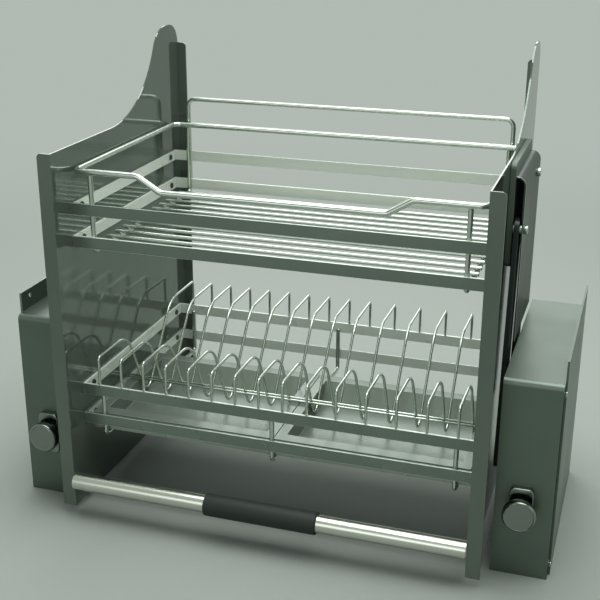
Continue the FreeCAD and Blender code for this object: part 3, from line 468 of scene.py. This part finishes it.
def outward(thing):
    """Turn every face outwards."""
    shape = bmesh.new()
    shape.from_mesh(thing.data)
    bmesh.ops.recalc_face_normals(shape, faces=shape.faces)
    shape.to_mesh(thing.data)
    shape.free()
    return thing


def fitted(thing, node, material, sharp_angle):
    """A finished piece in place of its solid, smooth but for its sharp edges."""
    thing.data.shade_smooth()
    thing.data.set_sharp_from_angle(angle=sharp_angle)
    paint(thing, material)
    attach(thing, body_of[node])
    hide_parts(node)


def wire_piece(name, parts, node):
    """A bright wire piece in place of its solid."""
    fitted(outward(joined(name, parts)), node, bright, WIRE_SHARP)


bright = polished("bright_wire", WIRE_COLOUR, 0.20, (1.0, 1.0, 1.0), 30.0, 0.002, 0.92)
RAIL_RADIUS = 3.0 * MM
RAIL_BEND = 10.0 * MM
RAIL_SIDES = 24
DIP_HALF = 111.0 * MM
DIP_SLOPE = 24.0 * MM
low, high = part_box("top_rail")
side_x = high.x - RAIL_RADIUS
near_y = low.y + RAIL_RADIUS
far_y = high.y - RAIL_RADIUS
high_z = high.z - RAIL_RADIUS
low_z = low.z + RAIL_RADIUS
rail_path = bent_path([
    (side_x, far_y, high_z),
    (side_x, near_y, high_z),
    (DIP_HALF + DIP_SLOPE, near_y, high_z),
    (DIP_HALF, near_y, low_z),
    (-DIP_HALF, near_y, low_z),
    (-DIP_HALF - DIP_SLOPE, near_y, high_z),
    (-side_x, near_y, high_z),
    (-side_x, far_y, high_z),
], [RAIL_BEND] * 8)
rail = carried_circle(rail_path, RAIL_RADIUS, (0, 0, 1), True, RAIL_SIDES)
wire_piece("top_rail_wire", [rail], "top_rail")

# Back guard: a hoop of bright wire whose two legs are welded behind the upper basket's rear bars. It keeps
# what stands there off the cabinet's back.
ROD_RADIUS = 2.5 * MM
HOOP_BEND = 9.0 * MM
low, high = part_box("back_guard")
hoop_x = high.x - ROD_RADIUS
hoop_y = (low.y + high.y) / 2
hoop_path = bent_path([
    (-hoop_x, hoop_y, low.z),
    (-hoop_x, hoop_y, high.z - ROD_RADIUS),
    (hoop_x, hoop_y, high.z - ROD_RADIUS),
    (hoop_x, hoop_y, low.z),
], [0, HOOP_BEND, HOOP_BEND, 0])
wire_piece("back_guard_hoop", [carried_circle(hoop_path, ROD_RADIUS, (0, 1, 0))], "back_guard")

# Cradle rods: U-shaped rods of bright wire, welded inside the rings' front and rear bars. Two carry the
# shelf wires of the upper basket and three carry the drip trays.
ROD_BEND = 4.5 * MM


def cradle(across, low, high):
    """One rod: down behind the front bars, back under the basket and up before the rear bars."""
    near = low.y + ROD_RADIUS
    far = high.y - ROD_RADIUS
    foot = low.z + ROD_RADIUS
    corners = [(across, near, high.z), (across, near, foot), (across, far, foot), (across, far, high.z)]
    return carried_circle(bent_path(corners, [0, ROD_BEND, ROD_BEND, 0]), ROD_RADIUS, (1, 0, 0))


for node, places in (("upper_cradle_rods", (-1, 1)), ("tray_cradle_rods", (-1, 0, 1))):
    low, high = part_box(node)
    rod_x = high.x - ROD_RADIUS
    wire_piece(node[:-1] + "_set", [cradle(place * rod_x, low, high) for place in places], node)

# Shelf wires: twelve straight bright wires, cut to length and welded across the two upper cradle rods. They
# are the upper basket's floor.
SHELF_WIRE = 2.0 * MM
SHELF_COUNT = 12
STRAIGHT_STEPS = 4
low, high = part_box("shelf_wires")
shelf_z = (low.z + high.z) / 2
shelf_parts = []
for shelf_y in np.linspace(low.y + SHELF_WIRE, high.y - SHELF_WIRE, SHELF_COUNT):
    line = np.linspace((low.x, shelf_y, shelf_z), (high.x, shelf_y, shelf_z), STRAIGHT_STEPS)
    shelf_parts.append(carried_circle(line, SHELF_WIRE, (0, 0, 1)))
wire_piece("shelf_wire_row", shelf_parts, "shelf_wires")

# Plate dividers: fifteen thin bright wires, ten at a narrow pitch and five at a wide one, welded on the
# lower basket's top ring. Each is bent in one plane to run level, dive into a V and climb to the back.
DIVIDER_WIRE = 1.5 * MM
DIVIDER_SIDES = 12
LEG_BEND = 4.0 * MM
ARCH_BEND = 34.0 * MM
FOOT_BEND = 11.0 * MM
DIVIDER_BENDS = [0, LEG_BEND, ARCH_BEND, FOOT_BEND, ARCH_BEND, LEG_BEND, 0]
NARROW_PITCH = 25.0 * MM
NARROW_COUNT = 10
WIDE_PITCH = 30.0 * MM
WIDE_COUNT = 5
FRONT_CORNER = 65.25 * MM
LOW_CORNER = 108.75 * MM
REAR_CORNER = 180.15 * MM
LOW_CORNER_DROP = 90.8 * MM
low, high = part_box("plate_dividers")
first_x = low.x + DIVIDER_WIRE
last_x = high.x - DIVIDER_WIRE
near_y = low.y + DIVIDER_WIRE
far_y = high.y - DIVIDER_WIRE
foot_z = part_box("lower_basket_top_ring")[1].z
top_z = high.z - DIVIDER_WIRE


def divider(across):
    """One divider, all in one plane: legs at both ends, two arches and the foot of the V between them."""
    corners = [
        (across, near_y, foot_z),
        (across, near_y, top_z),
        (across, near_y + FRONT_CORNER, top_z),
        (across, near_y + LOW_CORNER, top_z - LOW_CORNER_DROP),
        (across, near_y + REAR_CORNER, top_z),
        (across, far_y, top_z),
        (across, far_y, foot_z),
    ]
    return carried_circle(bent_path(corners, DIVIDER_BENDS), DIVIDER_WIRE, (1, 0, 0), sides=DIVIDER_SIDES)


divider_places = [first_x + NARROW_PITCH * index for index in range(NARROW_COUNT)]
divider_places += [last_x - WIDE_PITCH * index for index in range(WIDE_COUNT)]
wire_piece("plate_divider_row", [divider(across) for across in divider_places], "plate_dividers")

# Brace wires: two long straight bright wires on the lower basket's bottom ring, one each side of the
# dividers' front legs, which they grip.
BRACE_WIRE = 1.25 * MM
low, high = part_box("brace_wires")
brace_parts = []
for brace_y in (low.y + BRACE_WIRE, high.y - BRACE_WIRE):
    brace_z = low.z + BRACE_WIRE
    line = np.linspace((low.x, brace_y, brace_z), (high.x, brace_y, brace_z), STRAIGHT_STEPS)
    brace_parts.append(carried_circle(line, BRACE_WIRE, (0, 0, 1), sides=DIVIDER_SIDES))
wire_piece("brace_wire_row", brace_parts, "brace_wires")

# Handle bar: a polished steel tube between the side plates, with a plug in each end and a screw through
# each plate into it. Fine lines run along the tube.
TUBE_COLOUR = (0.640, 0.660, 0.592)
TUBE_SIDES = 96
POLE_WELD = 0.001 * MM
TURNED_SHARP = math.radians(35.0)
tube_steel = polished("tube_steel", TUBE_COLOUR, 0.25, (0.04, 1.0, 1.0), 900.0, 0.02)


def turned(profile, centre, axis, sides):
    """A turned piece: a profile of (along, radius) pairs carried round an axis through the centre. Across
    the axis, a point is its radius times the cosine and the sine of its angle."""
    profile = np.asarray(profile, float)
    angle = np.linspace(0, 2 * np.pi, sides, endpoint=False)
    ring = profile[:, 1][:, None]
    across = ring * np.cos(angle)
    rise = ring * np.sin(angle)
    along = np.repeat(profile[:, :1], sides, 1)
    order = {"X": (along, across, rise), "Y": (across, along, rise)}[axis]
    points = np.stack(order, -1).reshape(-1, 3) + np.asarray(centre, float)
    row = np.arange(len(profile) - 1)[:, None]
    column = np.arange(sides)[None]
    here = row * sides + column
    beside = row * sides + (column + 1) % sides
    faces = np.stack([here, beside, beside + sides, here + sides], -1).reshape(-1, 4)
    return points, faces.tolist()


def turned_piece(name, profile, centre, axis, material, node, sides):
    """A turned piece in place of its solid, with its poles merged and its faces turned outwards."""
    thing = joined(name, [turned(profile, centre, axis, sides)])
    shape = bmesh.new()
    shape.from_mesh(thing.data)
    bmesh.ops.remove_doubles(shape, verts=shape.verts, dist=POLE_WELD)
    bmesh.ops.recalc_face_normals(shape, faces=shape.faces)
    shape.to_mesh(thing.data)
    shape.free()
    fitted(thing, node, material, TURNED_SHARP)


low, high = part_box("handle_tube")
tube_radius = (high.y - low.y) / 2
tube_centre = (0, (low.y + high.y) / 2, (low.z + high.z) / 2)
TUBE_WALL = 1.2 * MM
TUBE_EDGE = 0.3 * MM
turned_piece("handle_bar", [
    (low.x, tube_radius - TUBE_WALL),
    (low.x, tube_radius - TUBE_EDGE),
    (low.x + TUBE_EDGE, tube_radius),
    (high.x - TUBE_EDGE, tube_radius),
    (high.x, tube_radius - TUBE_EDGE),
    (high.x, tube_radius - TUBE_WALL),
    (low.x, tube_radius - TUBE_WALL),
], tube_centre, "X", tube_steel, "handle_tube", TUBE_SIDES)

# Grip: a sleeve of black closed-cell foam, pushed over the middle of the bar. Its ends are moulded round and
# its skin has fine pores.
GRIP_COLOUR = (0.008, 0.016, 0.010)
PORE_SCALE = 900.0
SKIN_SCALE = 160.0
PORE_DEPTH = 0.25
PORE_HEIGHT = 0.4 * MM
END_ROUND = 1.6 * MM
GRIP_CLEARANCE = 0.02 * MM
grip_foam, grip_surface, grip_links = new_material("grip_foam", GRIP_COLOUR, 0.62)
place, pores, grain, mix, bump = add_nodes(grip_foam, "TexCoord", "TexVoronoi", "TexNoise", "Math", "Bump")
pores.inputs["Scale"].default_value = PORE_SCALE
grain.inputs["Scale"].default_value = SKIN_SCALE
grip_links.new(place.outputs["Object"], pores.inputs["Vector"])
grip_links.new(place.outputs["Object"], grain.inputs["Vector"])
mix.operation = "ADD"
grip_links.new(pores.outputs["Distance"], mix.inputs[0])
grip_links.new(grain.outputs["Fac"], mix.inputs[1])
bump.inputs["Strength"].default_value = PORE_DEPTH
bump.inputs["Distance"].default_value = PORE_HEIGHT
grip_links.new(mix.outputs["Value"], bump.inputs["Height"])
grip_links.new(bump.outputs["Normal"], grip_surface.inputs["Normal"])
low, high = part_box("handle_grip")
grip_radius = (high.y - low.y) / 2
grip_bore = tube_radius + GRIP_CLEARANCE
share = np.linspace(0, np.pi / 2, 6)
inset = END_ROUND * (1 - np.sin(share))
drop = grip_radius - END_ROUND * (1 - np.cos(share))
left_round = np.stack([low.x + inset, drop], 1)
right_round = np.stack([high.x - inset, drop], 1)
grip_profile = np.vstack([
    [(low.x, grip_bore)], left_round[::-1], right_round, [(high.x, grip_bore), (low.x, grip_bore)],
])
turned_piece("handle_grip_foam", grip_profile, tube_centre, "X", grip_foam, "handle_grip",
             TUBE_SIDES)

# Knobs: steel heads with a bevelled rim, a slightly sunk face and a grooved neck, which turn the tension
# screws. A raised surround with the same finish stands between each knob and its housing.
KNOB_COLOUR = (0.236, 0.266, 0.236)
knob_steel = polished("knob_steel", KNOB_COLOUR, 0.17, (1.0, 0.1, 1.0), 500.0, 0.03)
KNOB_BEVEL = 1.8 * MM
KNOB_DISH = 0.6 * MM
KNOB_HEAD = 8.0 * MM
KNOB_NECK = 9.7 * MM
KNOB_GROOVE = 1.2 * MM
KNOB_BACK_EDGE = 0.8 * MM
BEVEL_SHARE = 0.4
GROOVE_FLOOR = 0.6 * KNOB_GROOVE
GROOVE_DEPTH = 0.8 * KNOB_GROOVE
KNOB_SIDES = 72
for side in ("right", "left"):
    node = side + "_adjuster_knob"
    low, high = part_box(node)
    head = (high.x - low.x) / 2
    back = low.y + KNOB_HEAD
    groove = (back + high.y) / 2
    profile = [
        (low.y + KNOB_DISH, 0.0),
        (low.y + KNOB_DISH, head - KNOB_BEVEL - KNOB_DISH),
        (low.y, head - KNOB_BEVEL),
        (low.y + KNOB_BEVEL * BEVEL_SHARE, head - KNOB_BEVEL * BEVEL_SHARE),
        (low.y + KNOB_BEVEL, head),
        (back - KNOB_BACK_EDGE, head),
        (back, head - KNOB_BACK_EDGE),
        (back, KNOB_NECK),
        (groove - KNOB_GROOVE, KNOB_NECK),
        (groove - GROOVE_FLOOR, KNOB_NECK - GROOVE_DEPTH),
        (groove + GROOVE_FLOOR, KNOB_NECK - GROOVE_DEPTH),
        (groove + KNOB_GROOVE, KNOB_NECK),
        (high.y, KNOB_NECK),
        (high.y, 0.0),
    ]
    centre = ((low.x + high.x) / 2, 0, (low.z + high.z) / 2)
    turned_piece(node + "_turned", profile, centre, "Y", knob_steel, node, KNOB_SIDES)
    dressed(side + "_knob_surround", knob_steel, 1.2 * MM, 4)

# Pivot pins: shouldered rivets of zinc-plated steel, two a side, each from the link bracket through an arm
# to the link cover. Their heads stand out of the covers.
PLATED_COLOUR = (0.45, 0.54, 0.47)
plated = polished("plated_steel", PLATED_COLOUR, 0.28, (1.0, 1.0, 1.0), 300.0, 0.04)
for side in ("right", "left"):
    dressed(side + "_pivot_pins", plated, 0.5 * MM)

# Drip trays: two shallow pans of thin satin sheet with a flat rim and a turned-down skirt, which lift out.
# Their flat rims and edge rounds take a lighter copy of the sheet, a painted highlight, and the walls that
# face forwards another lighter copy, a painted reflection.
TRAY_COLOUR = (0.204, 0.244, 0.210)
TRAY_RIM = 17.2 * MM
RIM_HIGHLIGHT_COLOUR = (0.352, 0.416, 0.360)
WALL_REFLECTION_COLOUR = (0.286, 0.337, 0.286)
FACES_FORWARD = -0.5
tray_steel = rolled_sheet("tray_steel", TRAY_COLOUR, 0.30, 0.4)
# A lighter copy of the tray sheet for its rims and edge rounds: a painted highlight.
tray_rim = rolled_sheet("tray_rim", RIM_HIGHLIGHT_COLOUR, 0.34, 0.25)
# A lighter copy of the tray sheet for the walls that face forwards: a painted reflection.
tray_wall = rolled_sheet("tray_wall", WALL_REFLECTION_COLOUR, 0.26, 0.35)
for side in ("right", "left"):
    mesh = dressed(side + "_drip_tray", tray_steel, 0.3 * MM, 2, tray_rim, TRAY_RIM).data
    mesh.materials.append(tray_wall)
    # Faces that look forwards take the lighter wall material, a painted reflection.
    for face in mesh.polygons:
        if face.normal.y < FACES_FORWARD:
            face.material_index = 2

# Small and inner pieces keep their solids and only take a material: steel fasteners, shafts, levers, anchors
# and springs, nylon bushes and plugs, black plastic dampers and rubber buffers.
NYLON_COLOUR = (0.62, 0.64, 0.60)
DAMPER_COLOUR = (0.02, 0.021, 0.02)
RUBBER_COLOUR = (0.012, 0.012, 0.012)
SPRING_COLOUR = (0.30, 0.30, 0.30)
MOULD_CLOUDS = 40.0
SKIN_DEPTH = 0.08
SKIN_HEIGHT = 0.3 * MM


def moulded(name, colour, roughness, grain_scale):
    """Moulded plastic or rubber: slow clouds in tone and gloss, and a fine noise bump for its skin."""
    material, surface, links = new_material(name, colour, roughness)
    place, clouds, grain, tone, gloss, bump = add_nodes(
        material, "TexCoord", "TexNoise", "TexNoise", "MixRGB", "MapRange", "Bump")
    clouds.inputs["Scale"].default_value = MOULD_CLOUDS
    grain.inputs["Scale"].default_value = grain_scale
    links.new(place.outputs["Object"], clouds.inputs["Vector"])
    links.new(place.outputs["Object"], grain.inputs["Vector"])
    tone.inputs["Color1"].default_value = (*[part * 0.9 for part in colour], 1.0)
    tone.inputs["Color2"].default_value = (*[part * 1.1 for part in colour], 1.0)
    links.new(clouds.outputs["Fac"], tone.inputs["Fac"])
    links.new(tone.outputs["Color"], surface.inputs["Base Color"])
    gloss.inputs["To Min"].default_value = roughness * 0.85
    gloss.inputs["To Max"].default_value = roughness * 1.15
    links.new(clouds.outputs["Fac"], gloss.inputs["Value"])
    links.new(gloss.outputs["Result"], surface.inputs["Roughness"])
    bump.inputs["Strength"].default_value = SKIN_DEPTH
    bump.inputs["Distance"].default_value = SKIN_HEIGHT
    links.new(grain.outputs["Fac"], bump.inputs["Height"])
    links.new(bump.outputs["Normal"], surface.inputs["Normal"])
    return material


nylon = moulded("nylon", NYLON_COLOUR, 0.45, 300.0)
black_plastic = moulded("black_plastic", DAMPER_COLOUR, 0.5, 500.0)
rubber = moulded("buffer_rubber", RUBBER_COLOUR, 0.7, 700.0)
spring_steel = polished("spring_steel", SPRING_COLOUR, 0.35)
INNER = {
    "ring_screws": arm_steel, "cover_screws": plated, "handle_screws": plated, "spacer_pillars": plated,
    "shaft_bushes": nylon, "handle_end_plugs": nylon, "stop_buffers": rubber,
}
for side in ("right", "left"):
    for piece in ("_front_shaft", "_rear_shaft", "_crank_lever", "_tension_screw", "_spring_anchor"):
        INNER[side + piece] = plated
    INNER[side + "_extension_springs"] = spring_steel
    INNER[side + "_rotary_damper"] = black_plastic
for node, material in INNER.items():
    paint(frame["nodes"][node], material)
